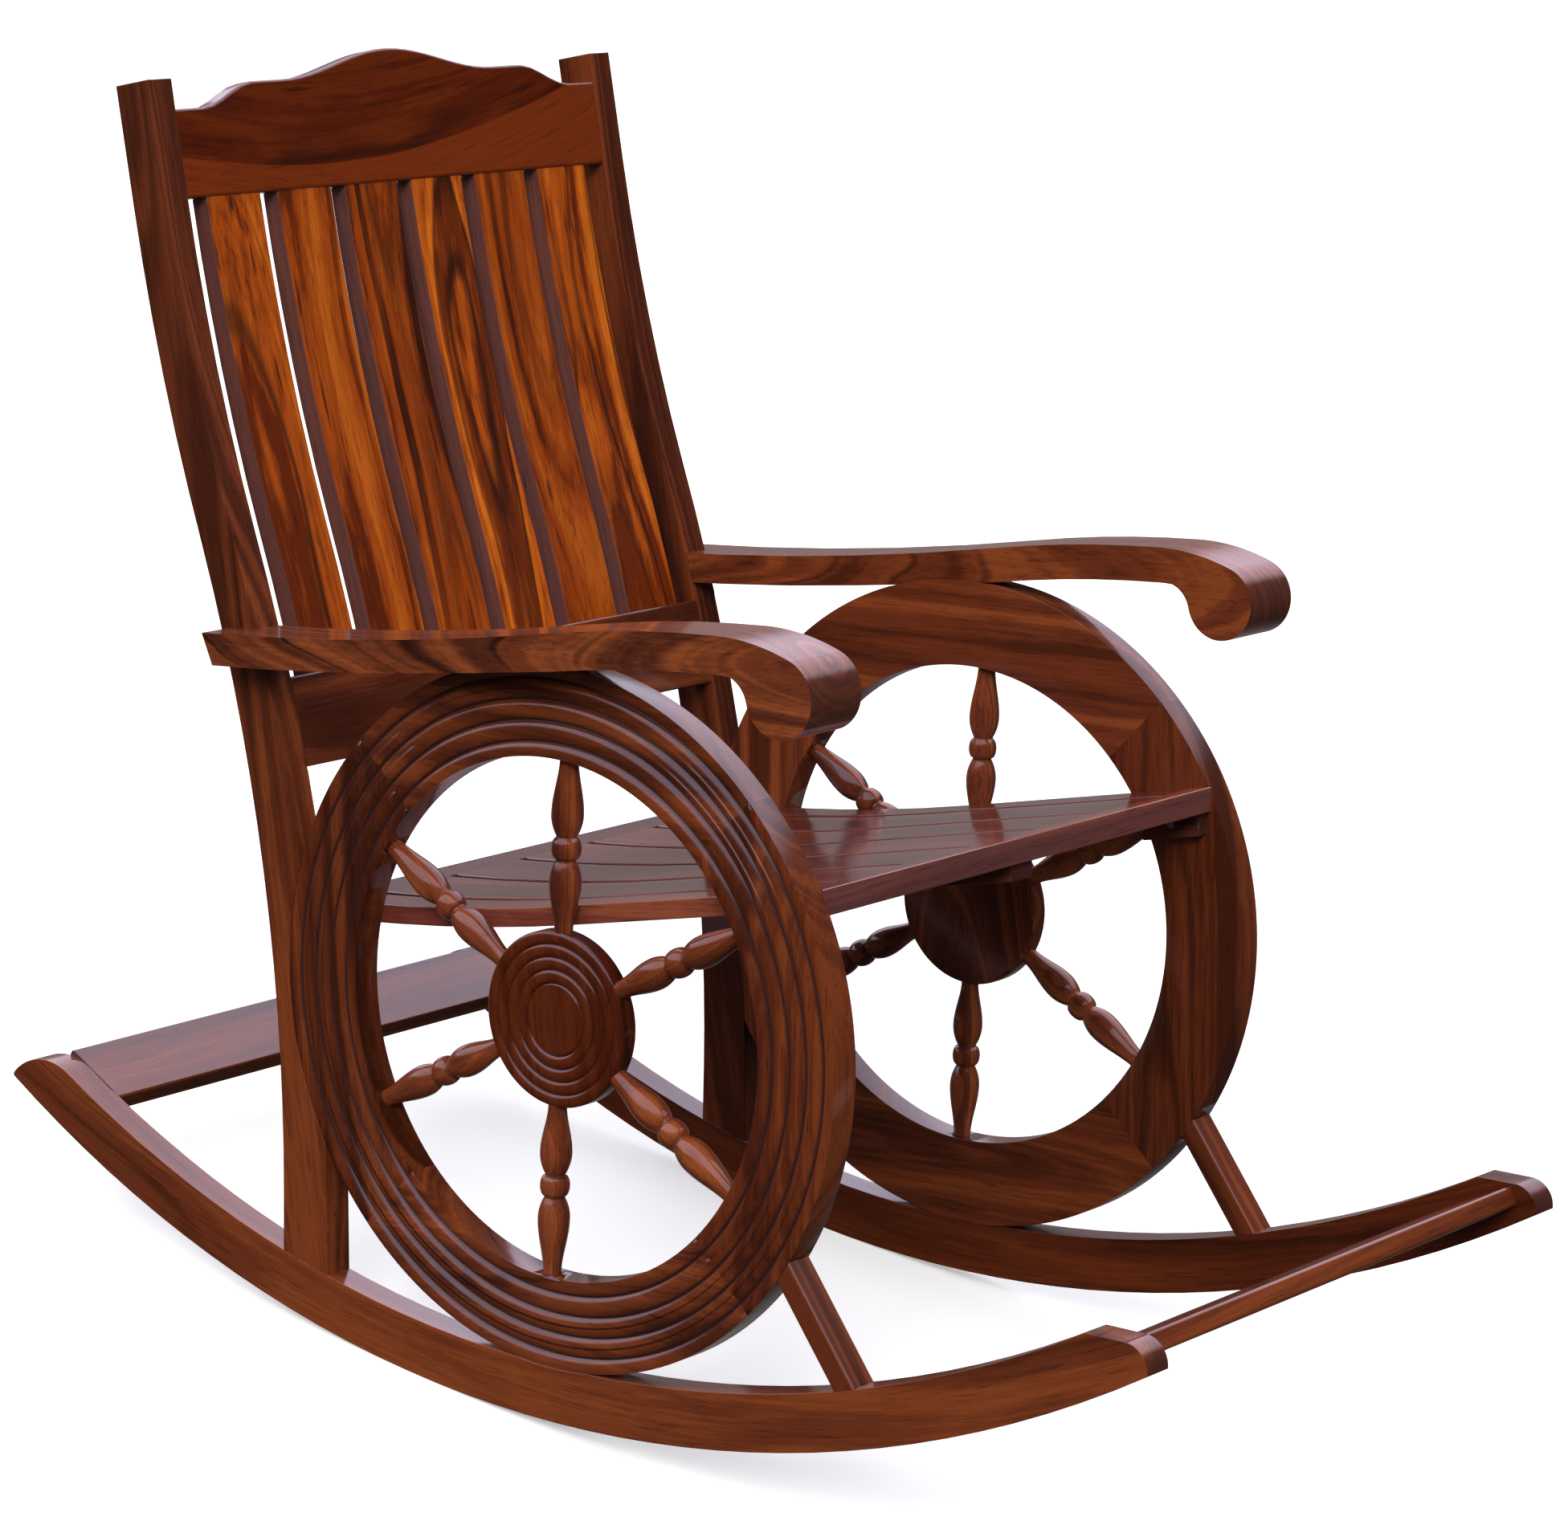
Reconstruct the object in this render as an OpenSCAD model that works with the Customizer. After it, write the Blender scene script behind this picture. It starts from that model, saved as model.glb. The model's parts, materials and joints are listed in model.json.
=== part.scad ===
// Wheel-sided rocking chair in solid timber. Millimetres, +Z up, the sitter faces -Y.
// Side outlines are drawn square as [y, z] about the wheel centre. at_hub() then leans the whole chair
// back to where it stands by itself and sets it on the floor.

/* [Side frames] */
// Clear width between the two side frames
inner_w = 518; // [480:1:560]
// Thickness of rockers, posts and wheel rims
frame_t = 27; // [25:1:30]
// Depth of the rockers' curve below the wheel centres
hub_drop = 329; // [325:1:331]
// Lean of the chair at rest, where its weight is over its footing, in degrees
lean = 7.5; // [7:0.1:8.5]

/* [Rockers] */
// Radius of the curve that meets the floor
rocker_r = 1136; // [1110:1:1160]
// Depth of the rocker, floor curve to top curve
rocker_d = 46.5; // [44:0.5:50]
// Reach of the front tip ahead of the wheel centre
rocker_front = 572; // [565:1:580]
// Reach of the rear tip behind the wheel centre
rocker_rear = 620; // [612:1:624]
// Width of the boards that tie the rockers
stretcher_w = 66; // [50:1:66]
// Thickness of the boards that tie the rockers
stretcher_t = 17; // [14:1:20]

/* [Wheels] */
// Outside radius of the rim
rim_r = 284; // [283:0.5:286]
// Radius of the open middle of the rim
rim_bore_r = 210; // [200:1:214]
// Number of turned ribs round the rim's outer face
reeds = 3; // [2:1:4]
// Radius of the hub disc
hub_r = 71; // [60:1:78]
// Thickness of the hub disc
hub_t = 18; // [16:1:20]
// Lean of the top spoke towards the front, in degrees
spoke_tilt = 2.8; // [0:0.1:5]
// Fullest radius of a spoke
spoke_r = 12.9; // [10:0.1:13]

/* [Back] */
// Width of the post at its foot, front to back
post_w_foot = 51.5; // [48:0.5:54]
// Width of the post at its top, front to back
post_w_top = 37.5; // [34:0.5:42]
// Width of each upright slat
back_slat_w = 64; // [54:1:66]
// Thickness of the back's rails
back_t = 20; // [16:1:22]
// Thickness of the back's slats
back_slat_t = 18.5; // [17:0.5:20]
// Height of the crest rail at its ends
crest_end_h = 73; // [60:1:90]
// Height of the crest rail at its centre
crest_mid_h = 113; // [100:1:130]

/* [Arms] */
// Width of each arm
arm_w = 60; // [50:1:70]
// Thickness of each arm
arm_t = 26.3; // [24:0.1:28]

/* [Seat] */
// Gap between neighbouring slats
seat_gap = 8; // [5:0.5:12]
// Width of each side rail of the seat
seat_side_w = 37.5; // [30:0.5:45]
// Thickness of the seat slats
seat_t = 15.6; // [14:0.1:18]

/* [Hidden] */
$fn = 120;
glue = 0.12;                         // clearance round every dowel, tenon and screw
frame_in = inner_w / 2;              // |x| of the side frames' inner faces
frame_mid = frame_in + frame_t / 2;  // rim and post each keep half the thickness where they cross
rocker_c = [2.5, rocker_r - hub_drop]; // centre of both rocker curves
rocker_top_r = rocker_r - rocker_d;
rear_nose_r = 55;
rear_turn = 30.3;                    // the rear nose leaves the top curve at this angle
rear_nose_c = rocker_c + (rocker_top_r + rear_nose_r) * [sin(rear_turn), -cos(rear_turn)];
// Tips of the rockers, the wheel centres' height and the middle of the length, all as the chair stands
front_tip = leaned([-rocker_front, rocker_foot(-rocker_front)]);
rear_tip_z = rear_nose_c[1] + sqrt(pow(rear_nose_r, 2) - pow(rocker_rear - rear_nose_c[0], 2));
rear_tip = leaned([rocker_rear, rear_tip_z]);
y_mid = (front_tip[0] + rear_tip[0]) / 2;
hub_h = rocker_r - leaned(rocker_c)[1];

spokes = 6;
rim_t = frame_t - 0.5;
reed_depth = 3.6;
reed_edge = 12;                      // half ribs along the rim's inner and outer edges
reed_w = (rim_r - rim_bore_r - 2 * reed_edge) / reeds;
hub_x = frame_in + 3.5;
spoke_x = frame_in + 13;
tenon_r = 5;
tenon_l = 18;
felloes = 4;
felloe_from = 45;                    // first joint of the rim, degrees from the top towards the front

back_slats = 6;
post_start = [271.7, -300, 90.8, 0];
post_legs = [[106, 0], [550, -20], [280, 9], [98, 0]];
post_taper = 663;                    // length over which the foot narrows
rail_from = 462;                     // stations along the post: lower rail, slats, crest
rail_to = 536;
crest_at = 936;
slat_setback = 2;
slat_pitch = 81;
first_slat_trim = [-1.5, -3];         // the first slat's edges stand off the even spacing by this

arm_start = [352, 262.6, 177.5, 0];
arm_legs = [[385, -6.8], [164.9, 7.4], [68.6, 22]];
arm_swell = 3.2;                     // the arm deepens towards the front by this much
nose_r = 31.2;
throat_r = 24.3;                     // hollow behind the nose
throat_fall = 12.5;

seat_slats = 5;
seat_start = [279, 55.7, 177.5, 0];
seat_legs = [[280, -8.3], [270, 0]];
seat_front = -252;
seat_rear = 279;
front_rail_w = 22;
front_rail_t = 21;
rear_rail_w = 36;
rear_rail_t = 20;
slat_w = (inner_w - 2 * seat_side_w - (seat_slats + 1) * seat_gap) / seat_slats;
underside_from = seat_front + 4;     // the bearer and the front cleats end here
cleat_w = 12;
cleat_h = 24;
front_cleat_end = -192;
rear_cleat_end = 223;
cleat_screws_y = [-220, 229];
bearer_w = 28;
bearer_h = 19;

// ---------- paths: lists of [y, z, heading, distance walked] ----------

function step(p, l, turn) =
    [p[0] + l * cos(p[2] + turn / 2), p[1] + l * sin(p[2] + turn / 2), p[2] + turn, p[3] + l];

// Each leg is [length, turn]; curved legs are cut into short chords
function walk(start, legs) =
    let (steps = [for (l = legs) let (n = max(1, ceil(abs(l[1]) / 1.5))) for (k = [1:n]) l / n])
    [for (i = 0, p = start; i <= len(steps);
          p = i < len(steps) ? step(p, steps[i][0], steps[i][1]) : p, i = i + 1) p];

function at(path, s) =
    let (i = max([for (k = [0:len(path) - 2]) if (path[k][3] <= s) k]),
         f = (s - path[i][3]) / (path[i + 1][3] - path[i][3]))
    path[i] + (path[i + 1] - path[i]) * f;

function stretch(path, a, b) =
    concat([at(path, a)], [for (p = path) if (p[3] > a + 1 && p[3] < b - 1) p], [at(path, b)]);

// The path moved sideways, to the right of its heading, by one offset per point
function beside(path, offs) =
    [for (i = [0:len(path) - 1])
        [path[i][0] + offs[i] * sin(path[i][2]), path[i][1] - offs[i] * cos(path[i][2])]];

function same(path, v) = [for (p = path) v];
function backwards(v) = [for (i = [len(v) - 1:-1:0]) v[i]];

module ribbon(path, offs_a, offs_b)
    polygon(concat(beside(path, offs_b), backwards(beside(path, offs_a))));

post_path = walk(post_start, post_legs);
arm_path = walk(arm_start, arm_legs);
arm_end = arm_path[len(arm_path) - 1];
nose_c = beside([arm_end], [arm_t / 2 - nose_r])[0];
throat_c = nose_c + (nose_r + throat_r) * [cos(throat_fall), -sin(throat_fall)];
seat_path = walk(seat_start, seat_legs);

function post_half(s) =
    (post_w_foot + (post_w_top - post_w_foot) * min(1, s / post_taper)) / 2;
// Offsets of a layer of the back, d behind the posts' front edges
function behind_front(path, d) = [for (p = path) d - post_half(p[3])];

// ---------- placing ----------

function leaned(p) = [p[0] * cos(lean) + p[1] * sin(lean), p[1] * cos(lean) - p[0] * sin(lean)];
module at_hub() translate([0, -y_mid, hub_h]) rotate([-lean, 0, 0]) children();

// Stands a [y, z] outline up and gives it thickness from x0 to x1
module across(x0, x1) translate([x0, 0, 0]) rotate([90, 0, 90]) linear_extrude(x1 - x0) children();

// side = -1 is the sitter's right
module to_side(side) mirror([side < 0 ? 1 : 0, 0, 0]) children();

module frame_part(side) to_side(side) across(frame_in, frame_in + frame_t) children();

// ---------- hidden joinery ----------

// Dowels in the plane of a side frame: [y, z, heading, length, radius]
post_foot = at(post_path, 51);
function frame_dowel_list() = [
    [post_foot[0], post_foot[1], 90, 50, 5],
    [brace_top[0], brace_top[1], brace_heading, 36, 4],
    [brace_foot[0], brace_foot[1], brace_heading, 36, 4],
    [32, 281, 88, 36, 4]
];

// Dowels along x: [y, z, x of the centre, length, radius]
function cross_dowel_list() =
    let (crest = at(post_path, crest_at), rail = at(post_path, (rail_from + rail_to) / 2))
    [
        [crest[0] - 4, crest[1] + 20, frame_in, 40, 4],
        [crest[0] + 4, crest[1] + 56, frame_in, 40, 4],
        [rail[0] - 16, rail[1] - 14, frame_in, 40, 4],
        [rail[0] - 7, rail[1] + 18, frame_in, 40, 4],
        [271.5, 46, frame_in, 40, 3.5],
        for (b = [rear_board, front_board], along = [0.3, 0.7])
            concat(in_board(b, along), [frame_in, 40, 4]),
        [326, 262, frame_in + frame_t + 2, 36, 4]
    ];

module frame_dowels_one_side(clear = 0)
    for (d = frame_dowel_list())
        translate([frame_mid, d[0], d[1]]) rotate([d[2] - 90, 0, 0])
            cylinder(h = d[3] + 2 * clear, r = d[4] + clear, center = true, $fn = 32);

module cross_dowels_one_side(clear = 0)
    for (d = cross_dowel_list())
        translate([d[2], d[0], d[1]]) rotate([0, 90, 0])
            cylinder(h = d[3] + 2 * clear, r = d[4] + clear, center = true, $fn = 32);

// Countersunk screws from each cleat into the rim
module cleat_screws_one_side(clear = 0)
    for (y = cleat_screws_y) {
        z = seat_top(y) - seat_t - cleat_h / 2;
        translate([frame_in - cleat_w, y, z]) rotate([0, 90, 0]) {
            cylinder(h = 3 + clear, r = 4 + clear, $fn = 32);
            cylinder(h = 26 + clear, r = 1.8 + clear, $fn = 32);
        }
    }

// Height of the seat's top face above the wheel centre at a given y
function seat_top(y) =
    let (i = max([for (k = [0:len(seat_path) - 2]) if (seat_path[k][0] >= y) k]),
         p = seat_path[i], q = seat_path[i + 1])
    p[1] + (q[1] - p[1]) * (y - p[0]) / (q[0] - p[0]);

// Takes the joinery of both sides out of a part
module drilled(frame = false, cross = false, screws = false)
    difference() {
        children();
        for (side = [-1, 1]) to_side(side) {
            if (frame) frame_dowels_one_side(glue);
            if (cross) cross_dowels_one_side(glue);
            if (screws) cleat_screws_one_side(glue);
        }
    }

// ---------- rockers and stretchers ----------

// Everything the blunt front nose and the rounded rear nose leave of the plane
module rocker_ends() {
    low = -400;
    front_r = 20.5;
    front_flat = -517;                // the top runs level from here to the nose
    front_top = rocker_top(front_flat);
    rear_y = rocker_c[0] + rocker_top_r * sin(rear_turn);
    translate([front_flat, low]) square([rear_y - front_flat, -2 * low]);
    translate([-rocker_front + front_r, low]) square([100, front_top - low]);
    translate([-rocker_front, low]) square([50, front_top - front_r - low]);
    translate([-rocker_front + front_r, front_top - front_r]) circle(front_r);
    translate([500, low]) square([rocker_rear - 500, rear_nose_c[1] - low]);
    intersection() {
        translate(rear_nose_c) circle(rear_nose_r);
        translate([500, low]) square([rocker_rear - 500, -low]);
    }
}

module rocker_outline()
    intersection() {
        difference() {
            translate(rocker_c) circle(rocker_r, $fn = 720);
            translate(rocker_c) circle(rocker_top_r, $fn = 720);
        }
        rocker_ends();
    }

// z of the rocker's two curves
function rocker_top(y) = rocker_c[1] - sqrt(rocker_top_r * rocker_top_r - pow(y - rocker_c[0], 2));
function rocker_foot(y) = rocker_c[1] - sqrt(rocker_r * rocker_r - pow(y - rocker_c[0], 2));

module rocker(side) color("saddlebrown")
    at_hub() drilled(frame = true, cross = true) difference() {
        frame_part(side) rocker_outline();
        to_side(side) across(frame_in - 1, frame_in + frame_t + 1) circle(rim_r);
    }

// Boards between the rockers: [y, z, slope] of the top face's front edge
rear_board = [516.4, rocker_top(516.4), 29.8];
front_board = [-547, -153, -26];

// Point at mid thickness, part of the way across a board
function in_board(b, along) =
    let (a = along * stretcher_w, d = stretcher_t / 2)
    [b[0] + a * cos(b[2]) + d * sin(b[2]), b[1] + a * sin(b[2]) - d * cos(b[2])];

module board(b) color("sienna")
    at_hub() drilled(cross = true) across(-frame_in, frame_in)
        translate([b[0], b[1]]) rotate(b[2]) translate([0, -stretcher_t]) square([stretcher_w, stretcher_t]);

// ---------- back ----------

module post_outline()
    intersection() {
        ribbon(post_path, behind_front(post_path, 0), [for (p = post_path) post_half(p[3])]);
        translate(rocker_c) circle(rocker_top_r, $fn = 720);
    }

module post(side) color("peru")
    at_hub() drilled(frame = true, cross = true) difference() {
        frame_part(side) post_outline();
        to_side(side) across(frame_mid, frame_in + frame_t + 1) circle(rim_r);
    }

module back_layer(a, b, front, rear, x0, x1) {
    p = stretch(post_path, a, b);
    across(x0, x1) ribbon(p, behind_front(p, front), behind_front(p, rear));
}

module lower_back_rail() color("chocolate")
    at_hub() drilled(cross = true) back_layer(rail_from, rail_to, 0, back_t + slat_setback, -frame_in, frame_in);

module back_slat(i) color("burlywood")
    at_hub() {
        x = (i - (back_slats + 1) / 2) * slat_pitch;
        trim = i == 1 ? first_slat_trim : [0, 0];
        back_layer(rail_to, crest_at, slat_setback, slat_setback + back_slat_t,
                   x - back_slat_w / 2 + trim[0], x + back_slat_w / 2 + trim[1]);
    }

function ease(t) = (1 - cos(180 * max(0, min(1, t)))) / 2;
// Height of the crest along x: flat ends, a step up to the shoulders, then a swell to the centre
function crest_height(x) =
    crest_end_h + 19 * ease((228 - abs(x)) / 63)
    + (crest_mid_h - crest_end_h - 19) * ease((130 - abs(x)) / 130);

module crest_rail() color("chocolate") {
    foot = at(post_path, crest_at);
    corner = beside([foot], behind_front([foot], 0))[0];
    at_hub() drilled(cross = true)
        translate([0, corner[0], corner[1]]) rotate([foot[2] - 90, 0, 0])
            translate([0, back_t, 0]) rotate([90, 0, 0]) linear_extrude(back_t)
                polygon(concat([[-frame_in, 0], [frame_in, 0], [frame_in, crest_height(frame_in)]],
                    [for (x = [228:-12:-228]) [x, crest_height(x)]],
                    [[-frame_in, crest_height(frame_in)]]));
}

// ---------- wheels ----------

// Section of the rim as [radius, thickness]; the ribs are arcs that meet in grooves
module rim_section() {
    rib_r = (reed_w * reed_w / 4 + reed_depth * reed_depth) / (2 * reed_depth);
    translate([rim_bore_r, 0]) square([rim_r - rim_bore_r, rim_t - reed_depth]);
    for (k = [-1:reeds])
        intersection() {
            translate([rim_bore_r + reed_edge + (k + 0.5) * reed_w, rim_t - rib_r]) circle(rib_r);
            translate([rim_bore_r, 1]) square([rim_r - rim_bore_r, rim_t]);
        }
}

// Turned parts spin about x, with their face outwards
module turned() rotate([0, 90, 0]) rotate_extrude() children();

// Angles round a wheel run from the top towards the front
module wheel_turn(angle) rotate([angle, 0, 0]) children();

module mortises(from, to)
    for (k = [0:spokes - 1])
        wheel_turn(spoke_tilt + 360 / spokes * k)
            translate([spoke_x, 0, from]) cylinder(h = to - from, r = tenon_r + glue, $fn = 32);

// Quarter of the rim; the rear one gives its inner half to the post
module felloe(side, k) color("rosybrown") {
    sweep = 360 / felloes;
    at_hub() drilled(frame = true, screws = true) to_side(side) difference() {
        intersection() {
            translate([frame_in, 0, 0]) turned() rim_section();
            wheel_turn(felloe_from + (k - 1) * sweep) across(frame_in - 1, frame_in + frame_t + 1)
                polygon([[0, 0], [0, 2 * rim_r],
                         2 * rim_r * [-sin(sweep / 2), cos(sweep / 2)] * 1.2,
                         2 * rim_r * [-sin(sweep), cos(sweep)]]);
        }
        across(frame_in - 1, frame_mid) post_outline();
        mortises(rim_bore_r - 5, rim_bore_r + tenon_l + 1);
    }
}

// Disc with a flat boss and three turned rings
module hub_section() {
    ring_w = (hub_r - 29.5) / 4;
    square([hub_r, hub_t - 2.5]);
    square([29, hub_t - 1.2]);
    for (k = [0:3])
        intersection() {
            translate([29.5 + (k + 0.5) * ring_w, hub_t - 6]) circle(6);
            translate([0, 1]) square([hub_r, hub_t]);
        }
}

module hub(side) color("maroon")
    at_hub() to_side(side) difference() {
        translate([hub_x, 0, 0]) turned() hub_section();
        mortises(hub_r - tenon_l - 1, hub_r + 5);
    }

spoke_from = hub_r - 1;
spoke_to = rim_bore_r + 1;
spoke_c = (spoke_from + spoke_to) / 2 - 3;   // middle of the bead
bead = 8.5;                          // half length of the bead
waist = 8.2;
neck = 7.4;
belly = 27;                          // distance of the fullest point from the bead

// Radius of a spoke at u from its bead: bead, waist, full belly, long taper to the neck
function spoke_radius(u, reach) =
    u < bead ? waist + 3.8 * sqrt(1 - pow(u / bead, 2))
    : u < bead + 1.5 ? waist
    : u < belly ? waist + (spoke_r - waist) * pow(sin(90 * (u - bead - 1.5) / (belly - bead - 1.5)), 0.8)
    : neck + (spoke_r - neck) * (1 - ease((u - belly) / (reach - belly)));

module spoke(side, k) color("indianred") {
    us = [0, 3, 5.5, 7.3, bead, bead + 1.5, 11.5, 14, 17, 21, 24, belly, 32, 37, 42, 47, 52, 58];
    inner = spoke_c - spoke_from;
    outer = spoke_to - spoke_c;
    outline = concat([[spoke_radius(inner, inner), spoke_from]],
                     [for (i = [len(us) - 1:-1:1]) [spoke_radius(us[i], inner), spoke_c - us[i]]],
                     [for (u = us) [spoke_radius(u, outer), spoke_c + u]],
                     [[spoke_radius(outer, outer), spoke_to]]);
    at_hub() to_side(side) wheel_turn(spoke_tilt + 360 / spokes * (k - 1)) translate([spoke_x, 0, 0])
        union() {
            difference() {
                intersection() {
                    rotate_extrude() polygon(concat([[0, spoke_from]], outline, [[0, spoke_to]]));
                    rotate([0, 90, 0]) cylinder(h = 60, r = rim_bore_r, center = true);
                }
                rotate([0, 90, 0]) cylinder(h = 60, r = hub_r, center = true);
            }
            translate([0, 0, hub_r - tenon_l])
                cylinder(h = rim_bore_r - hub_r + 2 * tenon_l, r = tenon_r, $fn = 32);
        }
}

// ---------- braces ----------

brace_t = 19;
brace_heading = -126.2;
brace_top = [-238, -164];
brace_foot = [-292.3, -238];

module brace(side) color("tan")
    at_hub() drilled(frame = true) frame_part(side)
        difference() {
            intersection() {
                translate(brace_top) rotate(brace_heading) translate([-60, -brace_t / 2]) square([260, brace_t]);
                translate(rocker_c) circle(rocker_top_r, $fn = 720);
            }
            circle(rim_r);
        }

// ---------- arms ----------

// Swept along its path, ending in a round nose with a hollow behind it
module arm_outline() {
    difference() {
        ribbon(arm_path, [for (p = arm_path) -arm_t / 2 - arm_swell * ease((p[3] - 250) / 160)],
               same(arm_path, arm_t / 2));
        translate([338, 262]) rotate(-24) translate([0, -60]) square([80, 120]);
    }
    translate(nose_c) circle(nose_r);
    difference() {
        polygon([nose_c, throat_c, throat_c + [0, throat_r + 12], nose_c + [0, nose_r - 8]]);
        translate(throat_c) circle(throat_r);
    }
}

// The inner part of the arm butts against the post, the outer part runs along its side
module arm(side) color("darkgoldenrod") {
    near = stretch(post_path, 400, 700);
    at_hub() drilled(frame = true, cross = true) to_side(side) difference() {
        across(frame_in, frame_in + arm_w) arm_outline();
        across(frame_in - 1, frame_in + frame_t) {
            ribbon(near, behind_front(near, 0), same(near, 150));
            circle(rim_r);
        }
    }
}

// ---------- seat ----------

module seat_strip(y0, y1, x0, x1, low, high = 0)
    across(x0, x1) intersection() {
        ribbon(seat_path, same(seat_path, -low), same(seat_path, high));
        translate([y0, -100]) square([y1 - y0, 400]);
    }

slat_y0 = seat_front + front_rail_w;
slat_y1 = seat_rear - rear_rail_w;

module seat_front_rail() color("firebrick")
    at_hub() seat_strip(seat_front, slat_y0, -frame_in, frame_in, front_rail_t);

module seat_rear_rail() color("firebrick")
    at_hub() drilled(cross = true) seat_strip(slat_y1, seat_rear, -frame_in, frame_in, rear_rail_t);

module seat_side_rail(side) color("orange")
    at_hub() to_side(side) seat_strip(slat_y0, slat_y1, frame_in - seat_side_w, frame_in, seat_t);

module seat_slat(i) color("goldenrod")
    at_hub() {
        x = (i - (seat_slats + 1) / 2) * (slat_w + seat_gap);
        seat_strip(slat_y0, slat_y1, x - slat_w / 2, x + slat_w / 2, seat_t);
    }

// A batten under the slats, notched to pass below the front rail
module batten(y0, y1, x0, x1, h)
    difference() {
        seat_strip(y0, y1, x0, x1, seat_t + h, -seat_t);
        seat_strip(seat_front, slat_y0, x0 - 1, x1 + 1, front_rail_t, 1);
    }

module seat_bearer() color("dimgray")
    at_hub() batten(underside_from, slat_y1, -bearer_w / 2, bearer_w / 2, bearer_h);

// Short blocks behind the rim carry the seat's corners
module seat_cleat(side, y0, y1) color("gray")
    at_hub() drilled(screws = true) to_side(side) batten(y0, y1, frame_in - cleat_w, frame_in, cleat_h);
module front_cleat(side) seat_cleat(side, underside_from, front_cleat_end);
module rear_cleat(side) seat_cleat(side, rear_cleat_end, slat_y1);

// ---------- assembly ----------

module frame_dowels() color("wheat") at_hub() for (side = [-1, 1]) to_side(side) frame_dowels_one_side();
module rail_dowels() color("wheat") at_hub() for (side = [-1, 1]) to_side(side) cross_dowels_one_side();
module cleat_screws() color("silver") at_hub() for (side = [-1, 1]) to_side(side) cleat_screws_one_side();

rocker(-1);  // rocker_right
rocker(1);  // rocker_left
board(front_board);  // front_stretcher
board(rear_board);  // rear_stretcher
post(-1);  // post_right
post(1);  // post_left
crest_rail();
lower_back_rail();
back_slat(1);  // back_slat_1
back_slat(2);  // back_slat_2
back_slat(3);  // back_slat_3
back_slat(4);  // back_slat_4
back_slat(5);  // back_slat_5
back_slat(6);  // back_slat_6
arm(-1);  // arm_right
arm(1);  // arm_left
brace(-1);  // brace_right
brace(1);  // brace_left
felloe(-1, 1);  // felloe_right_front
felloe(-1, 2);  // felloe_right_bottom
felloe(-1, 3);  // felloe_right_rear
felloe(-1, 4);  // felloe_right_top
felloe(1, 1);  // felloe_left_front
felloe(1, 2);  // felloe_left_bottom
felloe(1, 3);  // felloe_left_rear
felloe(1, 4);  // felloe_left_top
hub(-1);  // hub_right
hub(1);  // hub_left
spoke(-1, 1);  // spoke_right_1
spoke(-1, 2);  // spoke_right_2
spoke(-1, 3);  // spoke_right_3
spoke(-1, 4);  // spoke_right_4
spoke(-1, 5);  // spoke_right_5
spoke(-1, 6);  // spoke_right_6
spoke(1, 1);  // spoke_left_1
spoke(1, 2);  // spoke_left_2
spoke(1, 3);  // spoke_left_3
spoke(1, 4);  // spoke_left_4
spoke(1, 5);  // spoke_left_5
spoke(1, 6);  // spoke_left_6
seat_front_rail();
seat_rear_rail();
seat_side_rail(-1);  // seat_side_rail_right
seat_side_rail(1);  // seat_side_rail_left
seat_slat(1);  // seat_slat_1
seat_slat(2);  // seat_slat_2
seat_slat(3);  // seat_slat_3
seat_slat(4);  // seat_slat_4
seat_slat(5);  // seat_slat_5
seat_bearer();
front_cleat(-1);  // seat_cleat_right_front
rear_cleat(-1);  // seat_cleat_right_rear
front_cleat(1);  // seat_cleat_left_front
rear_cleat(1);  // seat_cleat_left_rear
frame_dowels();
rail_dowels();
cleat_screws();
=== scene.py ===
"""Looks of a wheel-sided rocking chair: polished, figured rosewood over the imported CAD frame.

Metres, +Z up, the sitter faces -Y. Every flat or sawn part is the CAD part with its free edges
rounded; spokes and hubs are turned again with a finer profile. All grain is procedural.
"""

import json
import math
import random

import bmesh
import bpy
from mathutils import Matrix, Vector
from mathutils.bvhtree import BVHTree


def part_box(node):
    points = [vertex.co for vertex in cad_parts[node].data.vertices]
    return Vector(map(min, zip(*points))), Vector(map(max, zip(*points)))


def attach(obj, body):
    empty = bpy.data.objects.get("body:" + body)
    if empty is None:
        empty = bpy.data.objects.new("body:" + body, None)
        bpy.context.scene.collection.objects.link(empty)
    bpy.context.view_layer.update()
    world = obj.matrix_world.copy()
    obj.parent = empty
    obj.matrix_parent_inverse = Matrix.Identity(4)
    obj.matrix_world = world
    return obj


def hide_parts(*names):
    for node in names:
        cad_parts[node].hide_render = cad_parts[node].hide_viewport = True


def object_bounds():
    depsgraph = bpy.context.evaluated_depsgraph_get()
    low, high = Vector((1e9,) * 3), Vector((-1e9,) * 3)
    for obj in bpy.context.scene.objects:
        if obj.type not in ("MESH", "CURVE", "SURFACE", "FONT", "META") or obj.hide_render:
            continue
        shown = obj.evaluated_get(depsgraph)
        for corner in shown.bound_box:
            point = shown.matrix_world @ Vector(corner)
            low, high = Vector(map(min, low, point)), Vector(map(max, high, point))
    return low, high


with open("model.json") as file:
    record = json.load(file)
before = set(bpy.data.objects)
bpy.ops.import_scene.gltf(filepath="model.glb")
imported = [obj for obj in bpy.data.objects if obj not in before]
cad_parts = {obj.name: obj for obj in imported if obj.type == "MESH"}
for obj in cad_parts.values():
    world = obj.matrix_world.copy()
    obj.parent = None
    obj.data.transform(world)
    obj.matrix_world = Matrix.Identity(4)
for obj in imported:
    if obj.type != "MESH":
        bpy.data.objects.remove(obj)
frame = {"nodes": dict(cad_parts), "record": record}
CAD_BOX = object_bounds()

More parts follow.
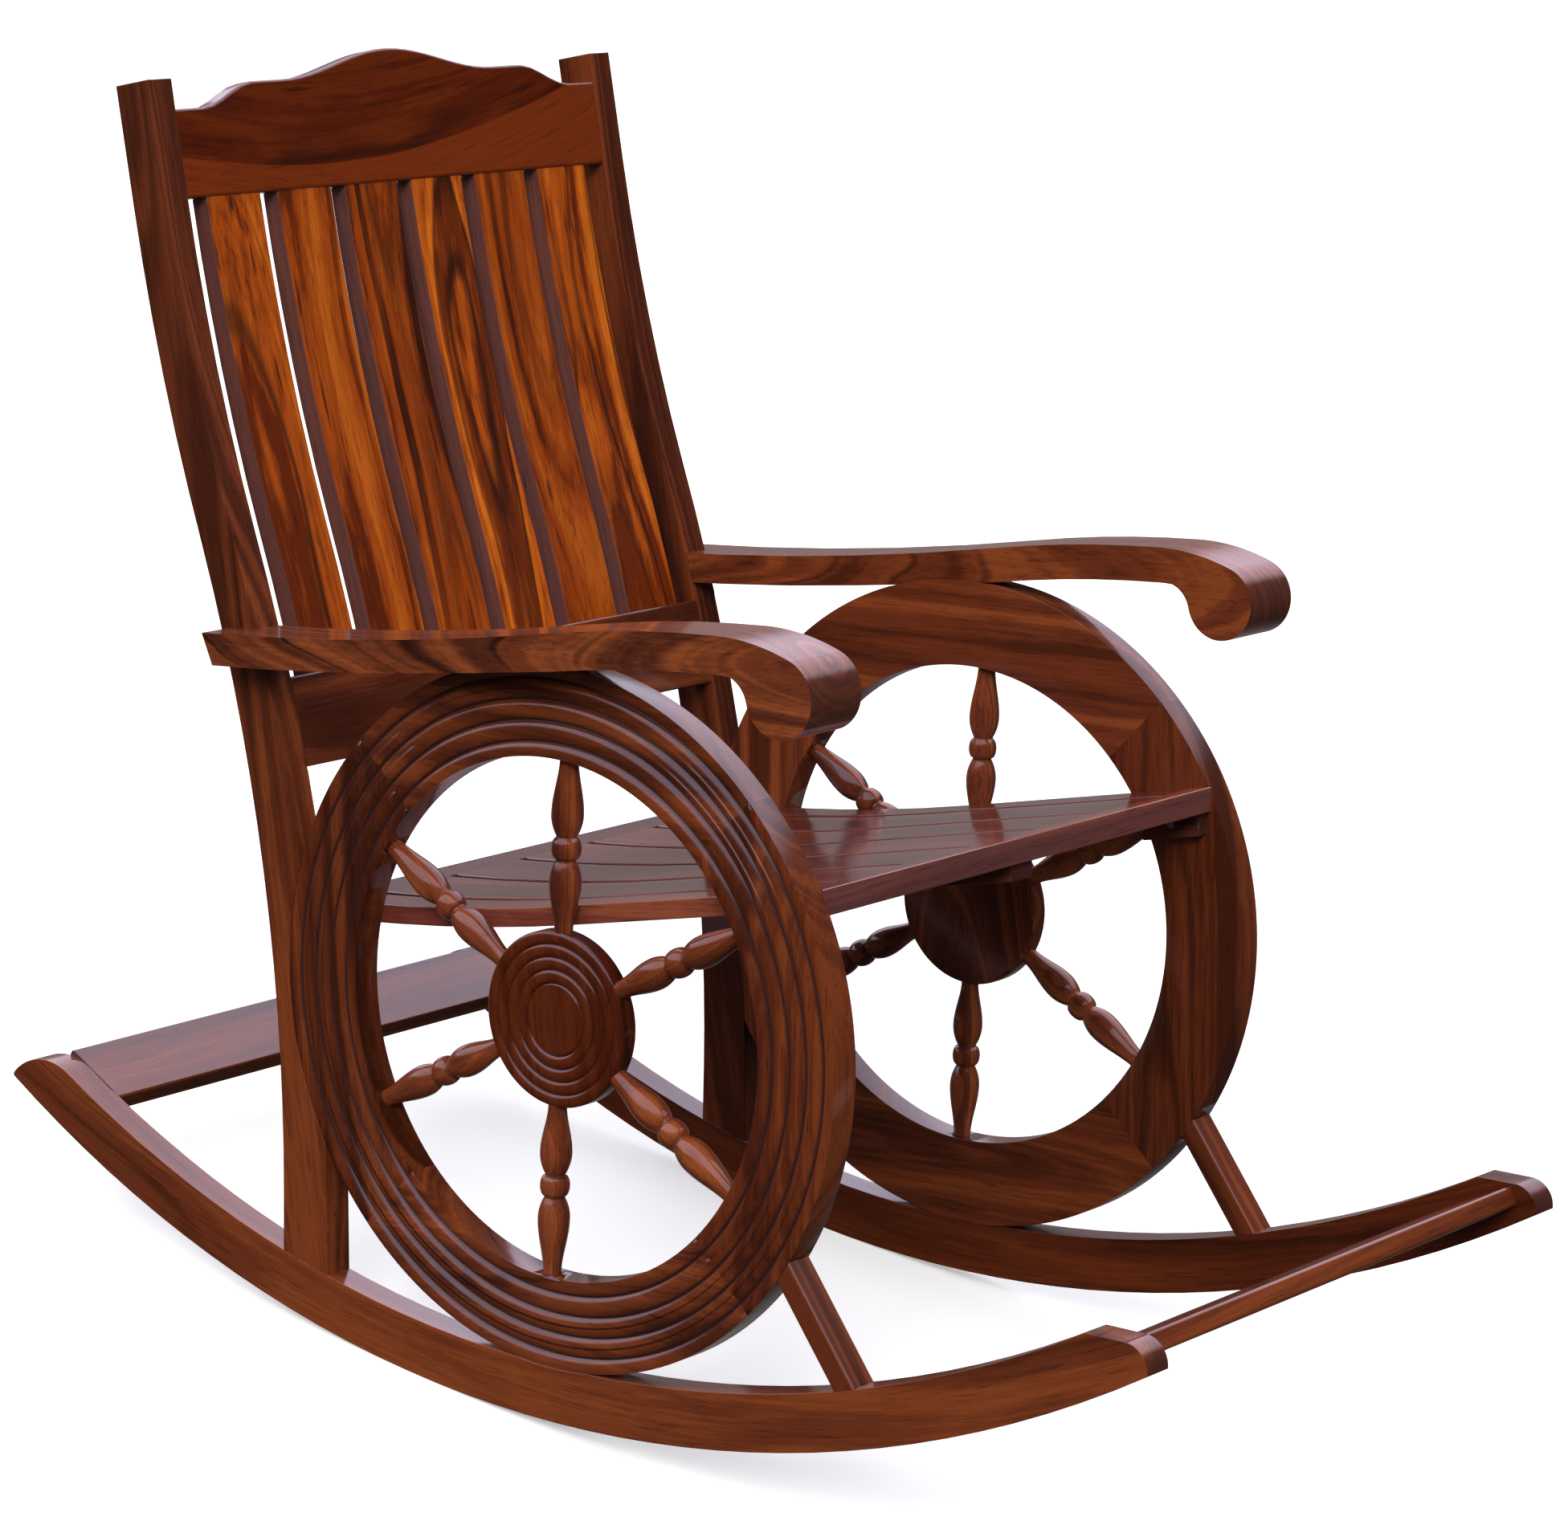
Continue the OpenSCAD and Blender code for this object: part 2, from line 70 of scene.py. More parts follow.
SIDES = {"right": -1, "left": 1}
NODES = frame["nodes"]
SLOTS = {s["node"]: s["material_slot"] for s in frame["record"]["subparts"]}
HIDDEN = ("frame_dowels", "rail_dowels", "cleat_screws")
WHEEL = sum(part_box("hub_right"), Vector()) / 2   # its y and z are the wheel centres'
TOUCHING = 0.0004                                # closer than this to another part is a joint
SHARP = math.radians(35)
HUB_R, BORE_R, RIM_R = 0.071, 0.210, 0.284
RIB_FROM, RIB_W, RIB_DEPTH = BORE_R + 0.012, 0.05 / 3, 0.0036   # the ribs on the rims' outer faces
RIB_FACE = 0.2775                                # |x| beyond this lies on a rim's ribbed outer face
HUB_RINGS, BOSS_R = 4, 0.0290                    # the hub's turned rings and its flat middle
SPOKES = 6
ROCKER_DROP = 0.306                              # from a wheel's centre to the middle of its rocker
HEARTWOOD = 9.0                                  # a distance to the sapwood that no board reaches
LEAN = math.radians(7.5)                         # the chair stands leaned back by this much
BACKWARD = Vector((0, math.cos(LEAN), -math.sin(LEAN)))
UPWARD = Vector((0, math.sin(LEAN), math.cos(LEAN)))


# ---------- camera ----------

def make_camera():
    """A long lens at the sitter's right front and above, tipped by the same lean as the chair."""
    data = bpy.data.cameras.new("camera")
    data.lens, data.sensor_width = 114.78, 36.0
    data.shift_x, data.shift_y = 0.0583, 0.0364
    camera = bpy.data.objects.new("camera", data)
    bpy.context.scene.collection.objects.link(camera)
    forward, right = Vector((0.7526, 0.5954, -0.2814)), Vector((0.6401, -0.7617, 0.1003))
    axes = Matrix((right, right.cross(forward), -forward)).transposed()
    camera.matrix_world = Matrix.Translation((-3.1389, -2.3821, 1.5997)) @ axes.to_4x4()
    bpy.context.scene.camera = camera


# ---------- shader nodes ----------

def node(tree, kind, inputs=None, **settings):
    """A new shader node. inputs maps a socket to a value or to another node's output."""
    made = tree.nodes.new("ShaderNode" + kind)
    for name, value in settings.items():
        setattr(made, name, value)
    for key, value in (inputs or {}).items():
        if isinstance(value, bpy.types.NodeSocket):
            tree.links.new(value, made.inputs[key])
        else:
            made.inputs[key].default_value = value
    return made


def maths(tree, operation, a, b=0.0, c=0.0):
    return node(tree, "Math", {0: a, 1: b, 2: c}, operation=operation).outputs[0]


def smooth(tree, value, low, high):
    """0 below low, 1 above high, eased between."""
    return node(tree, "MapRange", {"Value": value, "From Min": low, "From Max": high},
                interpolation_type="SMOOTHSTEP").outputs[0]


def mix(tree, factor, a, b, blend="MIX"):
    made = node(tree, "Mix", {0: factor, 6: a, 7: b}, data_type="RGBA", blend_type=blend)
    return made.outputs[2]


def noise(tree, vector, scale, seed, detail=2.0, roughness=0.5):
    """4-D noise over a grain-space vector, stretched by a scale per axis."""
    stretched = node(tree, "VectorMath", {0: vector, 1: scale}, operation="MULTIPLY").outputs[0]
    return node(tree, "TexNoise", {"Vector": stretched, "W": seed, "Scale": 1.0, "Detail": detail,
                                   "Roughness": roughness}, noise_dimensions="4D")


def timber_group():
    """Figured timber. Vector is in grain space: across the board, through it, along the grain."""
    g = bpy.data.node_groups.new("figured_timber", "ShaderNodeTree")
    sockets = (("Vector", "Vector", "INPUT"), ("Seed", "Float", "INPUT"), ("Bend", "Float", "INPUT"),
               ("Rings", "Float", "INPUT"), ("Streaks", "Float", "INPUT"), ("Dark", "Color", "INPUT"),
               ("Mid", "Color", "INPUT"), ("Light", "Color", "INPUT"), ("Sapwood", "Float", "INPUT"),
               ("Flame", "Float", "INPUT"), ("StainAndShade", "Float", "INPUT"), ("StainAndShadeTone", "Color", "INPUT"),
               ("Color", "Color", "OUTPUT"),
               ("Roughness", "Float", "OUTPUT"), ("Height", "Float", "OUTPUT"))
    for name, kind, way in sockets:
        g.interface.new_socket(name, in_out=way, socket_type="NodeSocket" + kind)
    given = g.nodes.new("NodeGroupInput").outputs
    seed = given["Seed"]

    across, through, along = node(g, "SeparateXYZ", {0: given["Vector"]}).outputs
    bent = maths(g, "MULTIPLY", maths(g, "MULTIPLY", along, along), given["Bend"])
    p = node(g, "CombineXYZ", {0: maths(g, "SUBTRACT", across, bent), 1: through, 2: along}).outputs[0]

    wander = noise(g, p, (7, 7, 1.7), seed, 3.0, 0.45).outputs["Color"]
    wander = node(g, "VectorMath", {0: wander, 1: (0.5, 0.5, 0.5)}, operation="SUBTRACT").outputs[0]
    wander = node(g, "VectorMath", {0: wander, "Scale": 0.042}, operation="SCALE").outputs[0]
    q = node(g, "VectorMath", {0: p, 1: wander}, operation="ADD").outputs[0]
    flat = node(g, "VectorMath", {0: q, 1: (1, 1, 0)}, operation="MULTIPLY").outputs[0]
    radius = node(g, "VectorMath", {0: flat}, operation="LENGTH").outputs["Value"]
    rings = maths(g, "MULTIPLY", radius, given["Rings"])
    growth = node(g, "TexNoise", {"W": maths(g, "ADD", rings, seed), "Scale": 1.0, "Detail": 3.0,
                                  "Roughness": 0.58}, noise_dimensions="1D").outputs["Fac"]
    vein = node(g, "TexNoise", {"W": maths(g, "MULTIPLY_ADD", rings, 0.55, seed), "Scale": 1.0,
                                "Detail": 1.0}, noise_dimensions="1D").outputs["Fac"]
    broad = noise(g, p, (9, 9, 1.3), seed, 2.0).outputs["Fac"]
    fibre = noise(g, p, (330, 330, 8), seed, 3.0, 0.6).outputs["Fac"]
    pores = smooth(g, noise(g, p, (1050, 1050, 30), seed, 1.0).outputs["Fac"], 0.60, 0.70)
    flame = noise(g, p, (85, 85, 11), seed, 4.0, 0.65).outputs["Fac"]
    fleck = smooth(g, noise(g, p, (150, 150, 13), seed, 2.0).outputs["Fac"], 0.62, 0.72)

    tone = maths(g, "MULTIPLY_ADD", maths(g, "SUBTRACT", broad, 0.5), 0.75, growth)
    tone = maths(g, "MULTIPLY_ADD", maths(g, "SUBTRACT", flame, 0.5), given["Flame"], tone)
    tone = maths(g, "MULTIPLY_ADD", maths(g, "SUBTRACT", fibre, 0.5), 0.22, tone)
    colour = mix(g, smooth(g, tone, 0.30, 0.52), given["Dark"], given["Mid"])
    colour = mix(g, smooth(g, tone, 0.50, 0.72), colour, given["Light"])
    off_vein = maths(g, "ABSOLUTE", maths(g, "SUBTRACT", vein, 0.47))
    line = maths(g, "SUBTRACT", 1.0, smooth(g, off_vein, 0.004, 0.045))
    line = maths(g, "MULTIPLY", maths(g, "MULTIPLY", line, given["Streaks"]), smooth(g, broad, 0.60, 0.42))
    line = maths(g, "MAXIMUM", line, maths(g, "MULTIPLY", fleck, given["Flame"]))
    colour = mix(g, line, colour, (0.013, 0.004, 0.002, 1))
    edge = maths(g, "SUBTRACT", node(g, "SeparateXYZ", {0: q}).outputs[0], given["Sapwood"])
    colour = mix(g, maths(g, "MULTIPLY", smooth(g, edge, 0.0, 0.002), 0.8), colour, (0.170, 0.026, 0.0020, 1))
    # end grain takes the stain colour, and sawn edge faces and rib grooves take it as painted shade
    colour = mix(g, given["StainAndShade"], colour, given["StainAndShadeTone"])
    shade = maths(g, "MULTIPLY_ADD", fibre, 0.5, 0.75)
    shade = maths(g, "MULTIPLY", shade, maths(g, "MULTIPLY_ADD", pores, -0.45, 1.0))
    shade = node(g, "CombineColor", {0: shade, 1: shade, 2: shade}).outputs[0]
    colour = mix(g, 1.0, colour, shade, "MULTIPLY")

    out = g.nodes.new("NodeGroupOutput").inputs
    g.links.new(colour, out["Color"])
    g.links.new(maths(g, "MULTIPLY_ADD", fibre, 0.25, 0.24), out["Roughness"])
    g.links.new(maths(g, "MULTIPLY_ADD", pores, -0.8, fibre), out["Height"])
    return g


FINISHES = {
    # slot: dark, mid and light colour, rings a metre, black streaks, flame, painted shade on sawn edge faces,
    # coat
    "rosewood_frame": ((0.062, 0.0135, 0.0050), (0.135, 0.0290, 0.0090), (0.225, 0.0520, 0.0130),
                       60, 0.45, 0.35, 0.0, 1.0),
    "rosewood_back": ((0.105, 0.0150, 0.0010), (0.330, 0.0590, 0.0020), (0.480, 0.1120, 0.0050),
                      75, 0.85, 0.70, 0.9, 1.0),
    "rosewood_seat": ((0.085, 0.0170, 0.0120), (0.145, 0.0290, 0.0180), (0.230, 0.0550, 0.0240),
                      55, 0.40, 0.30, 0.6, 1.0),
    "rosewood_turned": ((0.074, 0.0155, 0.0070), (0.155, 0.0320, 0.0100), (0.250, 0.0580, 0.0150),
                        90, 0.40, 0.30, 0.0, 1.0),
    "rosewood_hidden": ((0.030, 0.0090, 0.0060), (0.070, 0.0190, 0.0110), (0.110, 0.0300, 0.0150),
                        70, 0.60, 0.30, 0.0, 0.4),
    "dowel_beech": ((0.300, 0.1800, 0.0900), (0.480, 0.3200, 0.1800), (0.600, 0.4300, 0.2600),
                    200, 0.05, 0.10, 0.0, 0.0),
}

# Colour of stained end grain, and of the painted shade on sawn edge faces and in the rims' rib grooves
USUAL_STAIN_AND_SHADE = (0.045, 0.016, 0.014, 1)
STAIN_AND_SHADE_TONES = {"rosewood_back": (0.140, 0.056, 0.048, 1), "rosewood_seat": (0.110, 0.048, 0.045, 1)}


def timber(group, name, slot, centre, along, face, rng, bend=0.0, tilt=3.0, gain=1.0,
           sapwood=HEARTWOOD, fine=1.0):
    """Lacquered timber whose grain runs along one direction, with face as the board's wide face.
    tilt leans the board in its log, in degrees, which gives flame figure; bend curves the grain;
    gain brightens the wood; sapwood is how far across the board, from its middle, the pale outer
    wood begins; fine packs the rings closer."""
    material = bpy.data.materials.new(name)
    material.use_nodes = True
    tree = material.node_tree
    tree.nodes.clear()
    dark, mid, light, rings, streaks, flame, edges, coat = FINISHES[slot]

    along = Vector(along).normalized()
    across = Vector(face).cross(along).normalized()
    axes = Matrix((across, along.cross(across), along))
    lean = Matrix.Rotation(math.radians(rng.uniform(-tilt, tilt)), 3, "X")
    lean @= Matrix.Rotation(math.radians(rng.uniform(-tilt, tilt) / 3), 3, "Y")
    pith = (rng.uniform(-0.03, 0.03), rng.choice((-1, 1)) * rng.uniform(0.02, 0.07))   # the log's middle
    turn = lean @ axes
    place = Vector((pith[0], pith[1], 0)) - turn @ centre
    if not bend:
        place.z += rng.uniform(2, 9)
    given = node(tree, "TexCoord").outputs
    where = node(tree, "Mapping", {"Vector": given["Object"], "Location": place,
                                   "Rotation": turn.to_euler()}).outputs[0]
    # end grain drinks more stain; on some boards the sawn edge faces, such as the slats' sides in the gaps,
    # get painted shade
    # the seat's side rails get no painted shade on their sawn edges
    if name.startswith("seat_side_rail"):
        edges = 0.0
    stain_and_shade = maths(tree, "MULTIPLY", facing(tree, given["Normal"], along), 0.75)
    sawn_edge_shade = maths(tree, "MULTIPLY", facing(tree, given["Normal"], across), edges)
    stain_and_shade = maths(tree, "MAXIMUM", stain_and_shade, sawn_edge_shade)
    # a darker board is also a redder one
    tones = [(*(min(1, c * gain ** power) for c, power in zip(tone, (1, 1.3, 1.5))), 1)
             for tone in (dark, mid, light)]
    # the felloes' rib grooves get painted shade
    if name.startswith("felloe"):
        stain_and_shade = maths(tree, "MAXIMUM", stain_and_shade, groove_shade(tree, given["Object"]))
    inputs = {"Vector": where, "Seed": rng.uniform(0, 60), "Bend": bend, "Rings": rings * fine,
              "Streaks": min(1, streaks * fine), "Dark": tones[0], "Mid": tones[1], "Light": tones[2],
              "Sapwood": pith[0] + sapwood, "Flame": flame, "StainAndShade": stain_and_shade,
              "StainAndShadeTone": STAIN_AND_SHADE_TONES.get(slot, USUAL_STAIN_AND_SHADE)}
    wood = node(tree, "Group", node_tree=group)
    for key, value in inputs.items():
        if isinstance(value, bpy.types.NodeSocket):
            tree.links.new(value, wood.inputs[key])
        else:
            wood.inputs[key].default_value = value
    grain = node(tree, "Bump", {"Strength": 0.22, "Distance": 0.0003, "Height": wood.outputs["Height"]})
    polish = noise(tree, where, (28, 28, 9), 3.0, 2.0).outputs["Fac"]
    film = node(tree, "Bump", {"Strength": 0.30, "Distance": 0.0011, "Height": polish})
    shader = node(tree, "BsdfPrincipled", {
        "Base Color": wood.outputs["Color"], "Roughness": wood.outputs["Roughness"],
        "Normal": grain.outputs[0], "Coat Normal": film.outputs[0],
        "Specular IOR Level": 0.10, "Coat Weight": coat, "Coat Roughness": 0.11, "Coat IOR": 1.52})
    node(tree, "OutputMaterial", {0: shader.outputs[0]})
    return material


def facing(tree, normal, direction):
    """1 where the surface faces along a direction or against it."""
    dot = node(tree, "VectorMath", {0: normal, 1: direction}, operation="DOT_PRODUCT").outputs["Value"]
    return smooth(tree, maths(tree, "ABSOLUTE", dot), 0.60, 0.92)


def groove_shade(tree, place):
    """1 along the narrow grooves between a rim's ribs: painted shade in the grooves."""
    x, y, z = node(tree, "SeparateXYZ", {0: place}).outputs
    from_hub = {1: maths(tree, "SUBTRACT", y, WHEEL.y), 2: maths(tree, "SUBTRACT", z, WHEEL.z)}
    flat = node(tree, "CombineXYZ", from_hub)
    reach = node(tree, "VectorMath", {0: flat.outputs[0]}, operation="LENGTH").outputs["Value"]
    off = maths(tree, "PINGPONG", maths(tree, "SUBTRACT", reach, RIB_FROM), RIB_W / 2)
    # painted shade, darkest at the bottom of each groove
    dark = smooth(tree, off, 0.0026, 0.0003)
    off_middle = maths(tree, "ABSOLUTE", maths(tree, "SUBTRACT", reach, (BORE_R + RIM_R) / 2))
    within = maths(tree, "LESS_THAN", off_middle, (RIM_R - BORE_R) / 2 - 0.0035)
    outside = maths(tree, "GREATER_THAN", maths(tree, "ABSOLUTE", x), RIB_FACE)
    return maths(tree, "MULTIPLY", maths(tree, "MULTIPLY", dark, within), outside)


def zinc():
    """Zinc plate with fine turning marks, for the screws."""
    material = bpy.data.materials.new("zinc_plate")
    material.use_nodes = True
    tree = material.node_tree
    tree.nodes.clear()
    where = node(tree, "TexCoord").outputs["Object"]
    marks = noise(tree, where, (60, 2500, 2500), 1.0).outputs["Fac"]
    cloud = noise(tree, where, (300, 300, 300), 2.0).outputs["Fac"]
    shader = node(tree, "BsdfPrincipled", {
        "Base Color": mix(tree, cloud, (0.46, 0.46, 0.44, 1), (0.66, 0.66, 0.68, 1)), "Metallic": 1.0,
        "Roughness": maths(tree, "MULTIPLY_ADD", marks, 0.3, 0.22),
        "Normal": node(tree, "Bump", {"Strength": 0.2, "Distance": 0.0001, "Height": marks}).outputs[0]})
    node(tree, "OutputMaterial", {0: shader.outputs[0]})
    return material


# ---------- meshes ----------

def keep(name, bm, stands_for, material):
    """Makes a smooth-shaded piece of a bmesh, in the place of its CAD node."""
    data = bpy.data.meshes.new(name)
    bm.to_mesh(data)
    bm.free()
    data.shade_smooth()
    data.set_sharp_from_angle(angle=SHARP)
    piece = bpy.data.objects.new(name, data)
    bpy.context.scene.collection.objects.link(piece)
    data.materials.append(material)
    normals = piece.modifiers.new("even_normals", "WEIGHTED_NORMAL")
    normals.keep_sharp, normals.weight = True, 60
    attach(piece, "root")
    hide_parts(stands_for)
    return piece


def clean_copy(name):
    """The CAD node's mesh, welded, with its flat faces in one piece each."""
    bm = bmesh.new()
    bm.from_mesh(NODES[name].data)
    bmesh.ops.remove_doubles(bm, verts=bm.verts, dist=1e-5)
    bmesh.ops.dissolve_limit(bm, angle_limit=math.radians(0.2), verts=bm.verts, edges=bm.edges)
    bmesh.ops.recalc_face_normals(bm, faces=bm.faces)
    return bm


def neighbours():
    """A search tree and box for each visible CAD node."""
    trees = {}
    for name, obj in NODES.items():
        if name in HIDDEN:
            continue
        low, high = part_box(name)
        vertices = [v.co for v in obj.data.vertices]
        faces = [tuple(f.vertices) for f in obj.data.polygons]
        trees[name] = (low, high, BVHTree.FromPolygons(vertices, faces))
    return trees


def touches(point, name, trees):
    for other, (low, high, tree) in trees.items():
        if other == name:
            continue
        if any(point[i] < low[i] - TOUCHING or point[i] > high[i] + TOUCHING for i in range(3)):
            continue
        if tree.find_nearest(point, TOUCHING)[0] is not None:
            return True
    return False


def on_rim(edge):
    """True for an edge that runs round the wheel's inner or outer circumference."""
    reach = [math.hypot(v.co.y - WHEEL.y, v.co.z - WHEEL.z) for v in edge.verts]
    return any(max(abs(r - circle) for r in reach) < 0.0006 for circle in (BORE_R, RIM_R))


def rounded(name, radius, trees, material):
    """The CAD part with every free edge rounded; edges that lie on a joint stay crisp."""
    bm = clean_copy(name)
    edges = [e for e in bm.edges
             if e.is_manifold and SHARP < e.calc_face_angle() and e.calc_length() > 1e-4
             and min(f.calc_area() for f in e.link_faces) > 2.4e-5
             and (not name.startswith("felloe") or on_rim(e))
             and not touches((e.verts[0].co + e.verts[1].co) / 2, name, trees)]
    bmesh.ops.bevel(bm, geom=edges, offset=radius, offset_type="OFFSET", segments=3, profile=0.5,
                    affect="EDGES", clamp_overlap=True)
    return keep(name + "_piece", bm, name, material)


def rib_normals(piece, sign):
    """Exact normals for the ribs, which the CAD mesh only follows in short steps."""
    data = piece.data
    piece.modifiers.clear()
    normals = [Vector(n.vector) for n in data.corner_normals]
    rib_r = (RIB_W ** 2 / 4 + RIB_DEPTH ** 2) / (2 * RIB_DEPTH)
    for face in data.polygons:
        reach = math.hypot(face.center.y - WHEEL.y, face.center.z - WHEEL.z)
        ribbed = abs(face.center.x) > RIB_FACE + 0.0005 and BORE_R + 0.003 < reach < RIM_R - 0.003
        if not ribbed or face.normal.x * sign < 0.6:
            continue
        crest = RIB_FROM + (math.floor((reach - RIB_FROM) / RIB_W) + 0.5) * RIB_W
        for loop in face.loop_indices:
            corner = data.vertices[data.loops[loop].vertex_index].co
            out = Vector((0, corner.y - WHEEL.y, corner.z - WHEEL.z))
            slope = max(-0.75, min(0.75, (out.length - crest) / rib_r))
            normals[loop] = slope * out.normalized() + math.sqrt(1 - slope ** 2) * Vector((sign, 0, 0))
    data.normals_split_custom_set(normals)


def lathe(name, profile, axis, origin, stands_for, material, steps):
    """A closed turned part: profile is [(distance along axis, radius)], both ends on the axis, and
    steps is how many faces go round it."""
    axis = Vector(axis).normalized()
    side = axis.orthogonal().normalized()
    up = axis.cross(side)
    bm = bmesh.new()
    rows = []
    for along, radius in profile:
        centre = origin + axis * along
        if radius < 1e-6:
            rows.append([bm.verts.new(centre)])
            continue
        turns = [2 * math.pi * k / steps for k in range(steps)]
        rows.append([bm.verts.new(centre + radius * (math.cos(t) * side + math.sin(t) * up)) for t in turns])
    for a, b in zip(rows, rows[1:]):
        for k in range(steps):
            j = (k + 1) % steps
            corners = [a[0]] if len(a) == 1 else [a[k], a[j]]
            corners += [b[0]] if len(b) == 1 else [b[j], b[k]]
            bm.faces.new(corners)
    bmesh.ops.recalc_face_normals(bm, faces=bm.faces)
    return keep(name, bm, stands_for, material)


# ---------- turned parts ----------

def ease(t):
    return (1 - math.cos(math.pi * max(0.0, min(1.0, t)))) / 2


def spoke_radius(u, reach):
    """Radius at u from a spoke's bead: bead, waist, full belly, long taper to the neck."""
    bead, bead_rise, hollow, belly = 0.0085, 0.0038, 0.0100, 0.027   # where each ends, and the bead's rise
    waist, full, neck = 0.0082, 0.0129, 0.0074                       # radii
    if u < bead:
        return waist + bead_rise * math.sqrt(1 - (u / bead) ** 2)
    if u < hollow:
        return waist
    if u < belly:
        return waist + (full - waist) * math.sin(math.pi / 2 * (u - hollow) / (belly - hollow)) ** 0.8
    return neck + (full - neck) * (1 - ease((u - belly) / (reach - belly)))


def spoke(side, number, group, rng):
    name = f"spoke_{side}_{number}"
    place = sum(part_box(name), Vector()) / 2
    centre = Vector((place.x, WHEEL.y, WHEEL.z))
    axis = (place - centre).normalized()
    start, end = HUB_R - 0.001, BORE_R + 0.001
    middle, rows = (start + end) / 2 - 0.003, 110
    profile = [(start, 0.0)]
    for k in range(rows + 1):
        u = start + (end - start) * k / rows - middle
        profile.append((middle + u, spoke_radius(abs(u), end - middle if u > 0 else middle - start)))
    profile.append((end, 0.0))
    material = timber(group, name + "_wood", SLOTS[name], centre + axis * middle, axis, (1, 0, 0), rng,
                      gain=rng.uniform(1.05, 1.45))
    return lathe(name + "_piece", profile, axis, centre, name, material, 48)


def hub(side, group, rng):
    """Disc with a flat boss and turned rings round it, the last one its rounded rim."""
    sign = SIDES[side]
    low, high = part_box(f"hub_{side}")
    inner, outer = (low.x, high.x) if sign > 0 else (high.x, low.x)
    thick = abs(outer - inner)
    groove, arc, sunk = 0.0030, 9, 0.0012    # depth of a groove, points over a ring, depth of the boss
    first_ring = BOSS_R + 0.0005
    ring_w = (HUB_R - first_ring) / HUB_RINGS
    profile = [(0.0, 0.0), (0.0, HUB_R - 0.003), (0.0009, HUB_R - 0.0009), (0.003, HUB_R)]
    profile += [(thick - 0.0045, HUB_R)]
    for k in range(HUB_RINGS - 1, -1, -1):
        for j in range(arc):
            t = math.pi * (j + 0.5) / arc
            radius = first_ring + ring_w * (k + 0.5 + 0.5 * math.cos(t))
            profile.append((thick - groove + groove * math.sin(t), radius))
    profile += [(thick - groove, first_ring - 0.0001), (thick - 0.0022, BOSS_R + 0.0001),
                (thick - sunk, BOSS_R - sunk), (thick - sunk, 0.0)]
    centre = Vector((inner, WHEEL.y, WHEEL.z))
    name = f"hub_{side}"
    # the left hub, shaded under the seat, gets a brighter tone as painted fill light
    material = timber(group, name + "_wood", SLOTS[name], centre, (0, 0.25, 1), (1, 0, 0), rng, tilt=6,
                      gain=0.45 if side == "right" else 1.2)
    return lathe(name + "_piece", profile, (sign, 0, 0), centre, name, material, 128)


# ---------- sawn parts ----------

def grain_of(name):
    """Grain direction and the normal of the board's wide face."""
    low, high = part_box(name)
    size = high - low
    if name.startswith("felloe"):
        return (UPWARD if name.endswith(("front", "rear")) else BACKWARD), (1, 0, 0)
    if name.startswith("back_slat"):
        return (0, size.y - 0.02, size.z), (0, 1, -0.2)
    if name.startswith("post"):
        return (0, size.y - 0.05, size.z), (1, 0, 0)
    if name.startswith("brace"):
        return 0.59 * BACKWARD + 0.81 * UPWARD, (1, 0, 0)
    if name.startswith(("rocker", "arm")):
        return BACKWARD, (1, 0, 0)
    if name in ("crest_rail", "lower_back_rail"):
        return (1, 0, 0), (0, 1, -0.2)
    if name.endswith("stretcher") or name in ("seat_front_rail", "seat_rear_rail"):
        return (1, 0, 0), UPWARD
    return BACKWARD - 0.12 * UPWARD, UPWARD


ROUNDING = {"rocker": 0.0030, "post": 0.0026, "arm": 0.0040, "back": 0.0018, "crest": 0.0030,
            "lower": 0.0020, "felloe": 0.0034, "brace": 0.0022, "front": 0.0030, "rear": 0.0024,
            "seat": 0.0014}


# Brightness of the boards that differ from the usual, and where the crest's pale edge begins; the seat's
# front rail is brightened further as a painted reflection
TONE_AND_REFLECTION_GAINS = {"crest_rail": 0.21, "back_slat_1": 0.95, "back_slat_2": 0.84, "back_slat_3": 0.75,
         "back_slat_4": 1.20, "back_slat_5": 0.72, "back_slat_6": 1.05, "post_right": 1.00,
         "post_left": 0.85, "arm_right": 1.30, "arm_left": 1.15, "rocker_left": 0.64,
         "rocker_right": 1.08, "felloe_right_rear": 0.80, "seat_front_rail": 1.50,
         "seat_side_rail_right": 1.35, "rear_stretcher": 1.05}
CREST_SAPWOOD = 0.034


def sawn(name, group, trees, rng):
    along, face = grain_of(name)
    low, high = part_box(name)
    centre, bend = (low + high) / 2, 0.0
    if name.startswith("rocker"):
        bend = 0.40
        centre = Vector((centre.x, WHEEL.y, WHEEL.z)) - ROCKER_DROP * UPWARD
    if name == "crest_rail":
        bend = -0.55
        centre.x -= 0.10
    gain = TONE_AND_REFLECTION_GAINS.get(name, rng.uniform(0.85, 1.2))
    sapwood = CREST_SAPWOOD if name == "crest_rail" else HEARTWOOD
    tilt, fine = (9.0, 2.2) if name.startswith("arm") else (3.0, 1.0)
    material = timber(group, name + "_wood", SLOTS[name], centre, along, face, rng, bend, tilt, gain,
                      sapwood=sapwood, fine=fine)
    piece = rounded(name, ROUNDING[name.split("_")[0]], trees, material)
    if name.startswith("felloe"):
        rib_normals(piece, SIDES[name.split("_")[1]])
    return piece


def joinery(group, rng):
    """Dowels and screws, hidden in the joints, keep their CAD shape."""
    for name in ("frame_dowels", "rail_dowels"):
        data = NODES[name].data
        data.materials.clear()
        data.materials.append(timber(group, name + "_wood", SLOTS[name], Vector(), (1, 0, 0), (0, 0, 1), rng))
    data = NODES["cleat_screws"].data
    data.materials.clear()
    data.materials.append(zinc())


# ---------- studio ----------

